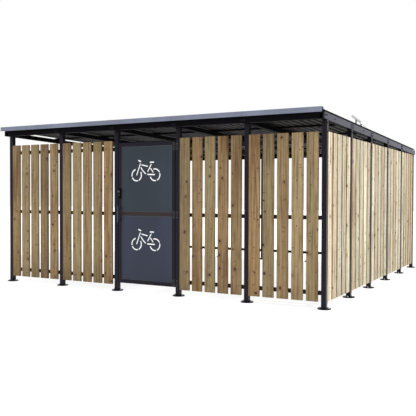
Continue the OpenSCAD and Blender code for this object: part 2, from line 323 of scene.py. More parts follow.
def sink_face(obj, direction, rim, depth):
    """Insets the faces that point one way by a rim, and pushes them in by a depth."""
    select_facing(obj, direction)
    bpy.ops.mesh.inset(thickness=rim)
    bpy.ops.mesh.extrude_region_move(
        TRANSFORM_OT_translate={"value": tuple(-depth * Vector(direction))}
    )
    leave_edit()


def copy_to(pattern, matrix):
    """A copy of pattern, with a mesh of its own, moved by matrix."""
    made = pattern.copy()
    made.data = pattern.data.copy()
    bpy.context.collection.objects.link(made)
    made.data.transform(matrix)
    return made


def join(objects):
    """Joins objects into the first."""
    deselect()
    for obj in objects:
        obj.select_set(True)
    bpy.context.view_layer.objects.active = objects[0]
    if len(objects) > 1:
        bpy.ops.object.join()
    return bpy.context.view_layer.objects.active


def repeat(pattern, matrices):
    """Joins a copy of pattern at each matrix, and removes the pattern."""
    made = join([copy_to(pattern, matrix) for matrix in matrices])
    bpy.data.objects.remove(pattern)
    return made


def finish_piece(obj, name, body, material, stands_for=()):
    """Names a finished piece, gives it its material and says where it belongs."""
    obj.name = name
    obj.data.name = name
    obj.data.materials.clear()
    obj.data.materials.append(material)
    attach(obj, body)
    if stands_for:
        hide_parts(*stands_for)
    return obj


def at(x, y, z, facing=UP):
    """A matrix that puts a fitting at a place and turns it to face one way."""
    return Matrix.Translation((x, y, z)) @ facing


def hex_bolt(radius, thickness=0.005):
    """A six-sided head on a round washer that it sinks into a little, facing up."""
    washer_thickness, sunk = 0.0015, 0.0001
    washer = round_edges(add_rod(radius * 1.3, washer_thickness, sides=16), 0.0004, 1)
    foot = (0, 0, washer_thickness - sunk)
    head = round_edges(add_rod(radius, thickness, foot, sides=6), 0.0008, 1)
    return join([washer, head])


# Places worked out from the frame


def post_lines():
    """The x of each front post line, the y of each side post line, and half a post."""
    low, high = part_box("front_corner_posts")
    back_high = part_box("back_corner_posts")[1]
    post_low, post_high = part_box("latch_post")
    half = (post_high[0] - post_low[0]) / 2
    bays = len(RIGHT_BAYS)
    first_x, last_x = low[0] + half, high[0] - half
    first_y, last_y = low[1] + half, back_high[1] - half
    lines_x = [first_x + i * (last_x - first_x) / bays for i in range(bays + 1)]
    lines_y = [first_y + i * (last_y - first_y) / bays for i in range(bays + 1)]
    return lines_x, lines_y, half


def corners_of(node):
    """The corners of a node's mesh, in the frame's own coordinates."""
    part = frame["nodes"][node]
    return [part.matrix_world @ vertex.co for vertex in part.data.vertices]


def roof_place():
    """A matrix from the roof's slope: Y runs down the beams' undersides from the front."""
    corners = corners_of("right_beam")
    front = min(corners, key=lambda corner: corner.y)
    back = min(corners, key=lambda corner: corner.z)
    slope = math.atan2(front.z - back.z, back.y - front.y)
    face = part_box("front_corner_posts")[0][1]
    height = front.z - (face - front.y) * math.tan(slope)
    return Matrix.Translation((0, face, height)) @ Matrix.Rotation(-slope, 4, "X")


def roof_box(node):
    """The low and high corners of a node, measured along the roof's slope."""
    back = roof_place().inverted()
    corners = [back @ corner for corner in corners_of(node)]
    return (
        Vector([min(corner[axis] for corner in corners) for axis in range(3)]),
        Vector([max(corner[axis] for corner in corners) for axis in range(3)]),
    )


def rail_heights():
    """The heights of the middles of the three rails behind the boards."""
    low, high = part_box("front_left_rails")
    heights = [corner.z for corner in corners_of("front_left_rails")]
    past_outer = 0.1
    inner = [z for z in heights if low[2] + past_outer < z < high[2] - past_outer]
    half = (max(inner) - min(inner)) / 2
    return low[2] + half, min(inner) + half, high[2] - half


def board_starts(node, axis):
    """Where each board of a bay starts, along that axis of its node's box."""
    timber = bpy.context.scene.shelter_timber
    low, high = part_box(node)
    last = timber.boards_per_bay - 1
    pitch = (high[axis] - low[axis] - timber.board_width) / last
    return [low[axis] + i * pitch for i in range(timber.boards_per_bay)]


# Materials


def add_node(tree, kind, inputs=None, **settings):
    """A shader node with its settings, and with each input linked or given its value."""
    made = tree.nodes.new(kind)
    for key, value in settings.items():
        setattr(made, key, value)
    for key, value in (inputs or {}).items():
        if isinstance(value, bpy.types.NodeSocket):
            tree.links.new(value, made.inputs[key])
        else:
            made.inputs[key].default_value = value
    return made


def maths(tree, operation, *values):
    """The output of a Math node with one, two or three values."""
    inputs = dict(enumerate(values))
    return add_node(tree, "ShaderNodeMath", inputs, operation=operation).outputs[0]


def scaled(tree, vector, scale):
    """A vector multiplied along each axis."""
    made = add_node(tree, "ShaderNodeVectorMath", {0: vector, 1: scale}, operation="MULTIPLY")
    return made.outputs[0]


def noise(tree, vector, scale, detail=3.0, roughness=0.55):
    """The value of a Noise Texture."""
    inputs = {"Vector": vector, "Scale": scale, "Detail": detail, "Roughness": roughness}
    return add_node(tree, "ShaderNodeTexNoise", inputs).outputs["Fac"]


def stretched(tree, place, scales, detail):
    """Noise with its own scale along each axis."""
    return noise(tree, scaled(tree, place, scales), 1.0, detail)


def ramp(tree, value, low, high, start=0.0, end=1.0):
    """Moves a value from one range to another, with a smooth step at both ends."""
    inputs = {"Value": value, 1: low, 2: high, 3: start, 4: end}
    made = add_node(tree, "ShaderNodeMapRange", inputs, interpolation_type="SMOOTHSTEP")
    return made.outputs["Result"]


def grey(value):
    """An opaque grey for a shader's colour."""
    return (value, value, value, 1)


def times(paint, factor):
    """A colour made lighter or darker."""
    return tuple(channel * factor for channel in paint)


def blend(tree, amount, first, second, kind="MIX"):
    """Two colours mixed by an amount."""
    made = add_node(tree, "ShaderNodeMix", data_type="RGBA", blend_type=kind)
    for socket, value in ((made.inputs[0], amount), (made.inputs[6], first),
                          (made.inputs[7], second)):
        if isinstance(value, bpy.types.NodeSocket):
            tree.links.new(value, socket)
        elif isinstance(value, float):
            socket.default_value = value
        else:
            socket.default_value = (*value, 1.0)
    return made.outputs[2]


def tint(tree, amount, base, factors):
    """A colour multiplied by factors, as far as an amount says."""
    return blend(tree, amount, base, blend(tree, 1.0, base, factors, "MULTIPLY"))


def start_material(name, roughness, shine=0.5, metallic=0.0):
    """An empty material with a Principled shader. Returns it, its tree and the shader."""
    material = bpy.data.materials.new(name)
    material.use_nodes = True
    tree = material.node_tree
    tree.nodes.clear()
    shader = add_node(tree, "ShaderNodeBsdfPrincipled", {
        "Roughness": roughness, "Specular IOR Level": shine, "Metallic": metallic,
    })
    add_node(tree, "ShaderNodeOutputMaterial", {"Surface": shader.outputs[0]})
    return material, tree, shader


def object_place(tree):
    """A point's place on the object."""
    return add_node(tree, "ShaderNodeTexCoord").outputs["Object"]


def roughen(tree, shader, height, strength, distance):
    """Links a bump to a shader."""
    bump = add_node(tree, "ShaderNodeBump", {
        "Height": height, "Strength": strength, "Distance": distance,
    })
    tree.links.new(bump.outputs[0], shader.inputs["Normal"])


def spots(tree, place, scale):
    """Scattered spots: the distance to the nearest one, and that spot's own random values."""
    made = add_node(tree, "ShaderNodeTexVoronoi", {"Vector": place, "Scale": scale},
                    voronoi_dimensions="2D")
    draws = add_node(tree, "ShaderNodeSeparateColor", {0: made.outputs["Color"]})
    return made.outputs["Distance"], draws.outputs


def round_knots(tree, place, tone):
    """How far a point lies in a knot's core, and how far in the dark wood round it."""
    distance, draws = spots(tree, place, 6.0)
    knotty = maths(tree, "MULTIPLY_ADD", tone, 0.3, draws[0])
    present = ramp(tree, knotty, 0.76, 0.77)
    radius = ramp(tree, draws[1], 0.0, 1.0, 0.045, 0.10)
    nearness = maths(tree, "DIVIDE", distance, radius)
    core = maths(tree, "MULTIPLY", ramp(tree, nearness, 0.75, 1.15, 1.0, 0.0), present)
    halo = maths(tree, "MULTIPLY", ramp(tree, nearness, 0.9, 3.6, 1.0, 0.0), present)
    return core, halo


def pin_knots(tree, place):
    """Small dark knots, at one spot in ten."""
    distance, draws = spots(tree, place, 13.0)
    return maths(tree, "MULTIPLY", ramp(tree, distance, 0.07, 0.13, 0.9, 0.0),
                 ramp(tree, draws[0], 0.90, 0.91))


def cross_marks(tree, place):
    """Short flat marks across the grain, at a few spots in a hundred."""
    distance, draws = spots(tree, scaled(tree, place, (11.0, 42.0, 1.0)), 1.0)
    return maths(tree, "MULTIPLY", ramp(tree, distance, 0.20, 0.34, 0.8, 0.0),
                 ramp(tree, draws[0], 0.965, 0.97))


def growth_rings(tree, place, tone, halo):
    """Lines along the board that sway and bend round the knots."""
    split = add_node(tree, "ShaderNodeSeparateXYZ", {0: place})
    across, along = split.outputs[0], split.outputs[1]
    sway = stretched(tree, place, (4.0, 0.9, 1.0), 2.0)
    bent = maths(tree, "MULTIPLY_ADD", sway, 0.07, across)
    phase = maths(tree, "MULTIPLY_ADD", halo, 2.2, maths(tree, "MULTIPLY", bent, 75.0))
    rings = add_node(tree, "ShaderNodeCombineXYZ", {
        0: phase, 1: maths(tree, "MULTIPLY", along, 1.1), 2: tone,
    }).outputs[0]
    return noise(tree, rings, 1.0, 4.0, 0.6)


def wood_material():
    """Sawn softwood: grain along the board, bent round knots, a tone for each board, and painted
    sunlight on the side wall.
    """
    timber = bpy.context.scene.shelter_timber
    red = tuple(timber.red)
    material, tree, shader = start_material("sawn_softwood", timber.roughness, 0.3)
    place = add_node(tree, "ShaderNodeUVMap", uv_map="grain").outputs[0]
    tone, painted_sunlight, shade = (
        add_node(tree, "ShaderNodeAttribute", attribute_name=name).outputs["Fac"]
        for name in ("tone", "painted_sunlight", "shade")
    )
    core, halo = round_knots(tree, place, tone)
    grain = growth_rings(tree, place, tone, halo)
    fibre = stretched(tree, place, (700.0, 14.0, 1.0), 2.0)
    heart = stretched(tree, place, (11.0, 0.8, 1.0), 2.0)
    mottle = stretched(tree, place, (14.0, 9.0, 1.0), 3.0)
    streak = stretched(tree, place, (38.0, 1.3, 1.0), 2.0)

    base = blend(tree, tone, tuple(timber.pale), tuple(timber.tan))
    heart_amount = maths(tree, "MULTIPLY", ramp(tree, heart, 0.48, 0.70, 0.0, 0.85), tone)
    base = blend(tree, heart_amount, base, red)
    base = blend(tree, ramp(tree, grain, 0.42, 0.64, 0.0, 0.75), base,
                 blend(tree, 0.72, base, red))
    base = tint(tree, ramp(tree, mottle, 0.35, 0.7, 0.0, 0.5), base, (0.72, 0.70, 0.62))
    base = tint(tree, ramp(tree, fibre, 0.3, 0.7, 0.0, 0.25), base, (0.62, 0.6, 0.55))
    # The dark streaks are the wood's own; they are drawn stronger where the painted sunlight is.
    streaked = maths(tree, "MULTIPLY", ramp(tree, streak, 0.50, 0.66),
                     maths(tree, "MULTIPLY_ADD", painted_sunlight, 0.3, 0.6))
    base = tint(tree, streaked, base, tuple(timber.streak))
    base = blend(tree, maths(tree, "MULTIPLY", halo, 0.45), base, red)
    base = blend(tree, cross_marks(tree, place), base, red)
    dark_spots = maths(tree, "MAXIMUM", core, pin_knots(tree, place))
    base = blend(tree, dark_spots, base, tuple(timber.knot))
    shades = add_node(tree, "ShaderNodeCombineXYZ", {0: shade, 1: shade, 2: shade}).outputs[0]
    base = blend(tree, 1.0, base, shades, "MULTIPLY")
    # Painted sunlight: the side wall's boards are made paler and bluer, as far as each bay's
    # amount says.
    base = tint(tree, painted_sunlight, base, tuple(timber.painted_sunlight))
    tree.links.new(base, shader.inputs["Base Color"])
    height = maths(tree, "MULTIPLY_ADD", fibre, 0.35, grain)
    roughen(tree, shader, height, 0.25, 0.0015)
    return material


def powder_coat(tree, shader, place):
    """The fine texture of powder paint."""
    roughen(tree, shader, noise(tree, place, 900.0, 1.0), 0.06, 0.0004)


def paint_clouds(tree, place):
    """The slow change of tone over a painted part."""
    return stretched(tree, place, (2.2, 2.2, 1.1), 4.0)


def paint_material(name, paint, roughness=None, shine=None, splash=0.0, glint=(1, 1, 1)):
    """Powder-coated steel: a fine texture, uneven tone and, near the ground, dried splash."""
    steel = bpy.context.scene.shelter_steel
    material, tree, shader = start_material(
        name, steel.roughness if roughness is None else roughness,
        steel.sheen if shine is None else shine,
    )
    shader.inputs["Specular Tint"].default_value = (*glint, 1.0)
    place = object_place(tree)
    base = blend(tree, ramp(tree, paint_clouds(tree, place), 0.3, 0.7), times(paint, 0.78),
                 tuple(paint))
    if splash:
        height = add_node(tree, "ShaderNodeSeparateXYZ", {0: place}).outputs[2]
        low_down = ramp(tree, height, 0.02, 0.42, 1.0, 0.0)
        specks = ramp(tree, noise(tree, place, 160.0, 2.0), 0.55, 0.68)
        dust = tuple(channel * 3.2 + 0.012 for channel in paint)
        amount = maths(tree, "MULTIPLY", maths(tree, "MULTIPLY", specks, low_down), splash)
        base = blend(tree, amount, base, dust)
    tree.links.new(base, shader.inputs["Base Color"])
    powder_coat(tree, shader, place)
    return material


def rail_material():
    """The door's rails: dark paint, with a warmer coat on the middle one."""
    steel = bpy.context.scene.shelter_steel
    material, tree, shader = start_material("rail_paint", steel.roughness, steel.sheen)
    shader.inputs["Specular Tint"].default_value = (*steel.glint, 1.0)
    place = object_place(tree)
    height = add_node(tree, "ShaderNodeSeparateXYZ", {0: place}).outputs[2]
    low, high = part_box("door_lower_panel")[1][2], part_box("door_upper_panel")[0][2]
    off = maths(tree, "ABSOLUTE", maths(tree, "SUBTRACT", height, (low + high) / 2))
    middle = maths(tree, "LESS_THAN", off, high - low)
    base = blend(tree, middle, tuple(steel.dark), tuple(steel.warm_rail))
    base = tint(tree, ramp(tree, paint_clouds(tree, place), 0.3, 0.7, 0.0, 0.3), base,
                (0.7, 0.7, 0.7))
    tree.links.new(base, shader.inputs["Base Color"])
    powder_coat(tree, shader, place)
    return material


def roof_material():
    """Coated roof sheet with faint streaks that run down the ribs."""
    paint = tuple(bpy.context.scene.shelter_steel.roof)
    material, tree, shader = start_material("coated_sheet", 0.6, 0.10)
    place = object_place(tree)
    streak = stretched(tree, place, (26.0, 0.5, 1.0), 4.0)
    stain = stretched(tree, place, (1.3, 0.7, 1.0), 3.0)
    base = blend(tree, ramp(tree, streak, 0.3, 0.75, 0.0, 0.6), paint, times(paint, 0.62))
    base = blend(tree, ramp(tree, stain, 0.4, 0.7, 0.0, 0.35), base, times(paint, 1.5))
    tree.links.new(base, shader.inputs["Base Color"])
    roughen(tree, shader, noise(tree, place, 300.0, 2.0), 0.05, 0.0005)
    return material


def metal_material(name, metal, roughness=0.4, metallic=0.85):
    """Bare or plated metal with fine wear."""
    material, tree, shader = start_material(name, roughness, 0.5, metallic)
    place = object_place(tree)
    wear = noise(tree, place, 60.0, 4.0)
    base = blend(tree, ramp(tree, wear, 0.35, 0.7), tuple(metal), times(metal, 0.7))
    tree.links.new(base, shader.inputs["Base Color"])
    roughen(tree, shader, noise(tree, place, 500.0, 2.0), 0.05, 0.0003)
    return material


def sign_material():
    """White film of the bicycle signs, with a painted glow that lifts it in the shade."""
    door = bpy.context.scene.shelter_door
    material, tree, shader = start_material("white_film", 0.5, 0.3)
    mottle = noise(tree, object_place(tree), 35.0, 2.0)
    white = tuple(door.sign_white)
    base = blend(tree, ramp(tree, mottle, 0.3, 0.8), white, times(white, 0.95))
    tree.links.new(base, shader.inputs["Base Color"])
    # Painted light: an even glow in the film's own colour.
    tree.links.new(base, shader.inputs["Emission Color"])
    shader.inputs["Emission Strength"].default_value = door.sign_painted_glow
    return material


def cell_material(place_low, place_high):
    """Dark solar cells under glass, parted by thin pale lines."""
    material, tree, shader = start_material("solar_cells", 0.03, 0.5)
    shader.inputs["Coat Weight"].default_value = 1.0
    place = object_place(tree)
    split = add_node(tree, "ShaderNodeSeparateXYZ", {0: place})
    lines = 0.0
    for axis, cells in ((0, 4), (1, 6)):
        span = (place_high[axis] - place_low[axis]) / cells
        offset = maths(tree, "SUBTRACT", split.outputs[axis], place_low[axis])
        part = maths(tree, "FRACT", maths(tree, "DIVIDE", offset, span))
        edge = maths(tree, "ABSOLUTE", maths(tree, "SUBTRACT", part, 0.5))
        lines = maths(tree, "MAXIMUM", lines, ramp(tree, edge, 0.478, 0.486))
    grain = noise(tree, place, 40.0, 2.0)
    cell = blend(tree, grain, (0.006, 0.009, 0.03), (0.012, 0.02, 0.055))
    base = blend(tree, lines, cell, (0.45, 0.47, 0.5))
    tree.links.new(base, shader.inputs["Base Color"])
    return material


def finishes():
    """Every material but the solar cells, made once and kept by name."""
    steel = bpy.context.scene.shelter_steel
    if "sawn_softwood" not in bpy.data.materials:
        wood_material()
        paint_material("dark_paint", steel.dark, splash=0.8, glint=steel.glint)
        paint_material("trim_paint", steel.trim, shine=0.35, glint=steel.glint)
        for name, paint, roughness, shine in (
            # The shaded paint is painted shade: the dark paint made darker and duller.
            ("shaded_paint", steel.shaded, 0.7, 0.05),
            ("fascia_paint", steel.fascia, 0.45, 0.35),
            ("leaf_paint", steel.leaf, 0.45, 0.3),
            ("low_leaf_paint", steel.low_leaf, 0.45, 0.3),
            ("bead_paint", steel.bead, 0.45, 0.3),
            ("fitting_paint", steel.fitting, 0.38, 0.25),
            ("handle_paint", steel.handle, 0.35, 0.4),
        ):
            paint_material(name, paint, roughness, shine)
        rail_material()
        roof_material()
        metal_material("zinc", steel.zinc)
        metal_material("dark_screw", (0.12, 0.11, 0.10), 0.45, 0.6)
        metal_material("panel_aluminium", (0.92, 0.92, 0.98), 0.5, 0.0)
        sign_material()
    return bpy.data.materials


# The operators, one for each piece or group of like pieces


class SHELTER_OT_stage(bpy.types.Operator):
    """Places the floor, the sky, the lamp and the camera"""

    bl_idname = "shelter.stage"
    bl_label = "Stage"

    def execute(self, context):
        stage = context.scene.shelter_stage
        self.add_floor(stage)
        self.add_sky(context, stage)
        self.add_sun(stage)
        self.add_camera(context, stage)
        context.scene.view_settings.view_transform = "Standard"
        return {"FINISHED"}

    def seen(self, tree):
        """1 for rays that show a surface straight, in a reflection or through glass."""
        path = add_node(tree, "ShaderNodeLightPath")
        straight = path.outputs["Is Camera Ray"]
        mirrored = path.outputs["Is Glossy Ray"]
        through = path.outputs["Is Transmission Ray"]
        return maths(tree, "MAXIMUM", maths(tree, "MAXIMUM", straight, mirrored), through)

    def add_floor(self, stage):
        """A pale floor that keeps a light shadow, a hair below the feet."""
        deselect()
        bpy.ops.mesh.primitive_plane_add(size=stage.floor_size, location=(0, 0, -0.0005))
        floor = settle(bpy.context.object)
        floor.name = "floor"
        material = bpy.data.materials.new("pale_floor")
        material.use_nodes = True
        tree = material.node_tree
        tree.nodes.clear()
        plain = add_node(tree, "ShaderNodeBsdfDiffuse", {"Color": grey(0.74)})
        shaded = add_node(tree, "ShaderNodeBsdfDiffuse", {"Color": grey(0.36)})
        glow = add_node(tree, "ShaderNodeEmission", {"Color": grey(1.0), "Strength": 0.86})
        bright = add_node(tree, "ShaderNodeAddShader", {
            0: shaded.outputs[0], 1: glow.outputs[0],
        })
        mixed = add_node(tree, "ShaderNodeMixShader", {
            0: self.seen(tree), 1: plain.outputs[0], 2: bright.outputs[0],
        })
        add_node(tree, "ShaderNodeOutputMaterial", {"Surface": mixed.outputs[0]})
        floor.data.materials.append(material)

    def add_sky(self, context, stage):
        """An even pale sky that shows white."""
        world = bpy.data.worlds.new("pale_sky")
        context.scene.world = world
        world.use_nodes = True
        tree = world.node_tree
        tree.nodes.clear()
        fill = add_node(tree, "ShaderNodeBackground", {
            "Color": (0.97, 0.98, 1.0, 1), "Strength": stage.fill,
        })
        white = add_node(tree, "ShaderNodeBackground", {"Color": grey(1.0), "Strength": 1.0})
        mixed = add_node(tree, "ShaderNodeMixShader", {
            0: self.seen(tree), 1: fill.outputs[0], 2: white.outputs[0],
        })
        add_node(tree, "ShaderNodeOutputWorld", {"Surface": mixed.outputs[0]})

    def add_sun(self, stage):
        """A lamp that lights the right-hand wall from the side."""
        deselect()
        bpy.ops.object.light_add(type="SUN")
        sun = bpy.context.object
        sun.name = "sun"
        sun.data.energy = stage.sun
        sun.data.angle = math.radians(6)
        sun.data.color = (1.0, 0.985, 0.96)
        flat = math.cos(stage.sun_height)
        towards = Vector((
            flat * math.cos(stage.sun_behind),
            flat * math.sin(stage.sun_behind),
            math.sin(stage.sun_height),
        ))
        sun.rotation_euler = towards.to_track_quat("Z", "Y").to_euler()

    def add_camera(self, context, stage):
        """The camera, at eye level off the right-hand front corner."""
        deselect()
        bpy.ops.object.camera_add()
        camera = bpy.context.object
        camera.name = "camera"
        camera.data.sensor_width = 36.0
        camera.data.lens = stage.lens
        camera.data.clip_end = 200.0
        camera.matrix_world = (
            Matrix.Translation((stage.camera_x, -stage.camera_y, stage.eye_level))
            @ Matrix.Rotation(stage.camera_turn, 4, "Z")
            @ Matrix.Rotation(math.pi / 2 - stage.camera_tilt, 4, "X")
            @ Matrix.Rotation(stage.camera_roll, 4, "Z")
        )
        context.scene.camera = camera


class SHELTER_OT_steelwork(bpy.types.Operator):
    """Paints the steel of the frame that shows as it is"""

    bl_idname = "shelter.steelwork"
    bl_label = "Steelwork paint"

    # The finish of every node that isn't in the dark paint.
    PAINTS = {
        "coated_sheet": ("roof_sheet",),
        "fascia_paint": ("front_fascia",),
        "trim_paint": ("right_fascia",),
        "leaf_paint": ("door_upper_panel",),
        "low_leaf_paint": ("door_lower_panel",),
        "fitting_paint": ("door_hinges", "post_hinges"),
        "handle_paint": ("pull_handle",),
        "rail_paint": ("door_rails",),
        "shaded_paint": (
            "front_beam", "back_beam", "left_beam", "right_beam", "rafters", "purlins",
        ),
        "zinc": ("strike_plate",),
    }

    def execute(self, context):
        made = finishes()
        special = {name: paint for paint, names in self.PAINTS.items() for name in names}
        for name, node in frame["nodes"].items():
            material = made[special.get(name, "dark_paint")]
            for slot in node.material_slots:
                slot.material = material
        return {"FINISHED"}


class SHELTER_OT_boards(bpy.types.Operator):
    """Lays the upright boards of every bay"""

    bl_idname = "shelter.boards"
    bl_label = "Boards"

    def execute(self, context):
        timber = context.scene.shelter_timber
        draw = random.Random(SEED)
        low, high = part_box("front_boards_1")
        pattern = add_box(
            (0, 0, 0), (timber.board_width, timber.board_thickness, high[2] - low[2])
        )
        round_edges(pattern, timber.edge)
        for bay in FRONT_BAYS:
            node = f"front_boards_{bay}"
            low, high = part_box(node)
            places = [at(x, low[1], low[2]) for x in board_starts(node, 0)]
            self.lay_bay(pattern, places, node, f"front_bay_{bay}_boards", draw, 0.0)
        turned = Matrix.Rotation(math.pi / 2, 4, "Z")
        for bay in RIGHT_BAYS:
            node = f"right_boards_{bay}"
            low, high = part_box(node)
            places = [at(high[0], y, low[2], turned) for y in board_starts(node, 1)]
            self.lay_bay(pattern, places, node, f"right_bay_{bay}_boards", draw, PAINTED_SUNLIGHT[bay],
                         BRIGHTNESS[bay])
        bpy.data.objects.remove(pattern)
        return {"FINISHED"}

    def lay_bay(self, pattern, places, node, name, draw, painted_sunlight, brightness=1.0):
        """Joins a bay's boards, each with its own run of grain and its own tone."""
        boards = []
        for place in places:
            board = copy_to(pattern, UP)
            self.draw_grain(board.data, draw.uniform(0, GRAIN_RUN), draw.uniform(0, GRAIN_RUN))
            self.set_value(board.data, "tone", draw.random() ** TONE_BIAS)
            self.set_value(board.data, "shade", draw.uniform(*SHADES) * brightness)
            self.set_value(board.data, "painted_sunlight", painted_sunlight)
            board.data.transform(place)
            boards.append(board)
        finish_piece(
            join(boards), name, SHELTER, finishes()["sawn_softwood"], (node,)
        )

    def set_value(self, mesh, name, value):
        """Gives every point of a mesh one value under a name."""
        made = mesh.attributes.new(name, "FLOAT", "POINT")
        made.data.foreach_set("value", [value] * len(mesh.vertices))

    def draw_grain(self, mesh, shift_across, shift_along):
        """Lays a board's surface out flat, in metres, across and along the grain."""
        if "grain" not in mesh.uv_layers:
            mesh.uv_layers.new(name="grain")
        for other in [uv for uv in mesh.uv_layers if uv.name != "grain"]:
            mesh.uv_layers.remove(other)
        layer = mesh.uv_layers["grain"]
        for loop in mesh.loops:
            spot = mesh.vertices[loop.vertex_index].co
            layer.data[loop.index].uv = (
                spot.x + spot.y + shift_across, spot.z + shift_along
            )


class SHELTER_OT_board_screws(bpy.types.Operator):
    """Drives two screws through each board at each rail"""

    bl_idname = "shelter.board_screws"
    bl_label = "Board screws"

    def execute(self, context):
        timber = context.scene.shelter_timber
        fixings = context.scene.shelter_fixings
        across = (fixings.screw_inset, timber.board_width - fixings.screw_inset)
        places = []
        for bay in FRONT_BAYS:
            node = f"front_boards_{bay}"
            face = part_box(node)[0][1]
            for x in board_starts(node, 0):
                for z in rail_heights():
                    places += [at(x + inset, face, z, FRONT) for inset in across]
        self.drive(places, "front_board_screws")
        places = []
        for bay in RIGHT_BAYS:
            node = f"right_boards_{bay}"
            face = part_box(node)[1][0]
            for y in board_starts(node, 1):
                for z in rail_heights():
                    places += [at(face, y + inset, z, RIGHT) for inset in across]
        self.drive(places, "right_board_screws")
        return {"FINISHED"}

    def drive(self, places, name):
        """One low domed head at each place, a little sunk into the board."""
        radius = bpy.context.scene.shelter_fixings.screw_radius
        height, sunk = 0.0016, 0.0004
        head = round_edges(add_rod(radius, height, (0, 0, -sunk), sides=8), height / 2, 1)
        screws = repeat(head, places)
        finish_piece(screws, name, SHELTER, finishes()["dark_screw"])


class SHELTER_OT_frame_bolts(bpy.types.Operator):
    """Adds the bolts that hold the posts, beams and inner rafters"""

    bl_idname = "shelter.frame_bolts"
    bl_label = "Frame bolts"

    # How far each post's two bolts sit below the beams, and where the two that hold an
    # inner rafter sit on either side of its line.
    DROPS = (0.035, 0.14)
    PAIR = (-0.018, 0.018)

    def execute(self, context):
        lines_x, lines_y, half = post_lines()
        roof = roof_place()
        front = lines_y[0] - half
        back = lines_y[-1] + half
        right = lines_x[-1] + half
        left = lines_x[0] - half

        def under(y, drop):
            """The height at a drop below the beams over a given place along the side."""
            return (roof @ Vector((0, y - front, 0))).z - drop

        left_lines = [y for y in lines_y if self.stands(left + half, y)]
        places = []
        for drop in self.DROPS:
            places += [at(x, front, under(front, drop), FRONT) for x in lines_x]
            places += [at(x, back, under(back, drop), BACK) for x in lines_x]
            places += [at(right, y, under(y, drop), RIGHT) for y in lines_y]
            places += [at(left, y, under(y, drop), LEFT) for y in left_lines]
        beam_low, beam_high = roof_box("front_beam")
        web = roof_box("back_beam")[1][1]
        middle = (beam_low[2] + beam_high[2]) / 2
        for x in lines_x[1:-1]:
            for step in self.PAIR:
                places.append(roof @ at(x + step, beam_low[1], middle, FRONT))
                places.append(roof @ at(x + step, web, middle, BACK))
        bolts = repeat(hex_bolt(context.scene.shelter_fixings.bolt_radius), places)
        finish_piece(bolts, "frame_bolts", SHELTER, finishes()["dark_paint"])
        return {"FINISHED"}

    def stands(self, x, y):
        """Whether a post stands at a place on the left-hand side."""
        near = 0.1
        return any(
            abs(corner.x - x) < near and abs(corner.y - y) < near
            for node in ("left_posts", "front_corner_posts", "back_corner_posts")
            for corner in corners_of(node)
        )


class SHELTER_OT_side_plates(bpy.types.Operator):
    """Covers the joints of the side trim with bolted plates"""

    bl_idname = "shelter.side_plates"
    bl_label = "Side plates"

    # Half a plate's length, and how far its edges stay inside the trim's.
    HALF_LENGTH = 0.045
    MARGIN = 0.006
    BOLT_RADIUS = 0.0095
    # Where a plate's four bolts sit, along the trim and up it, from the plate's middle.
    ALONG = (-0.027, 0.027)
    UP_AND_DOWN = (-0.018, 0.018)
    # The end bracket's reach along the trim, its fold across the front, its margin and
    # its two bolts, which sit a little above the middle.
    BRACKET = 0.1
    FOLD = 0.018
    BRACKET_MARGIN = 0.004
    BRACKET_BOLTS = (0.032, 0.075)
    BRACKET_LIFT = 0.008
    # Single bolts in the first two bays, from the trim's front end and the first line.
    LONE_BOLTS = (0.4, 0.55)

    def execute(self, context):
        fixings = context.scene.shelter_fixings
        side_lines, half = post_lines()[1:]
        roof = roof_place()
        start = side_lines[0] - half
        lines = [y - start for y in side_lines]
        low, high = roof_box("right_fascia")
        face = high[0]
        foot, head = low[2] + self.MARGIN, high[2] - self.MARGIN
        plate = add_box((0, -self.HALF_LENGTH, foot), (fixings.plate, self.HALF_LENGTH, head))
        round_edges(plate, 0.001, 1)
        plates = repeat(plate, [roof @ at(face, y, 0) for y in lines[1:-1]])
        finish_piece(plates, "side_joint_plates", SHELTER,
                     finishes()["trim_paint"])
        middle = (foot + head) / 2
        outer = face + fixings.plate
        places = [
            at(outer, y + step, middle + lift, RIGHT)
            for y in lines[1:-1] for step in self.ALONG for lift in self.UP_AND_DOWN
        ]
        places += [
            at(outer, low[1] + reach, middle + self.BRACKET_LIFT, RIGHT)
            for reach in self.BRACKET_BOLTS
        ]
        lone = (low[1] + self.LONE_BOLTS[0], lines[1] + self.LONE_BOLTS[1])
        places += [at(face, y, middle, RIGHT) for y in lone]
        bolts = repeat(hex_bolt(self.BOLT_RADIUS), [roof @ place for place in places])
        finish_piece(bolts, "side_plate_bolts", SHELTER,
                     finishes()["dark_paint"])
        self.add_end_bracket(roof, low, high, fixings.plate)
        return {"FINISHED"}

    def add_end_bracket(self, roof, low, high, thickness):
        """A corner bracket, folded round the front end of the side trim."""
        front, face = low[1], high[0]
        bracket = add_box(
            (face, front, low[2] + self.BRACKET_MARGIN),
            (face + thickness, front + self.BRACKET, high[2] - self.BRACKET_MARGIN),
        )
        select_facing(bracket, (0, -1, 0))
        bpy.ops.mesh.extrude_region_move(
            TRANSFORM_OT_translate={"value": (0, -thickness, 0)}
        )
        leave_edit()
        select_faces(bracket, lambda side: side.normal.x < -SQUARELY
                     and side.center.y < front)
        bpy.ops.mesh.extrude_region_move(
            TRANSFORM_OT_translate={"value": (-self.FOLD, 0, 0)}
        )
        leave_edit()
        round_edges(bracket, 0.0007, 1)
        bracket.data.transform(roof)
        finish_piece(bracket, "front_end_bracket", SHELTER,
                     finishes()["trim_paint"])


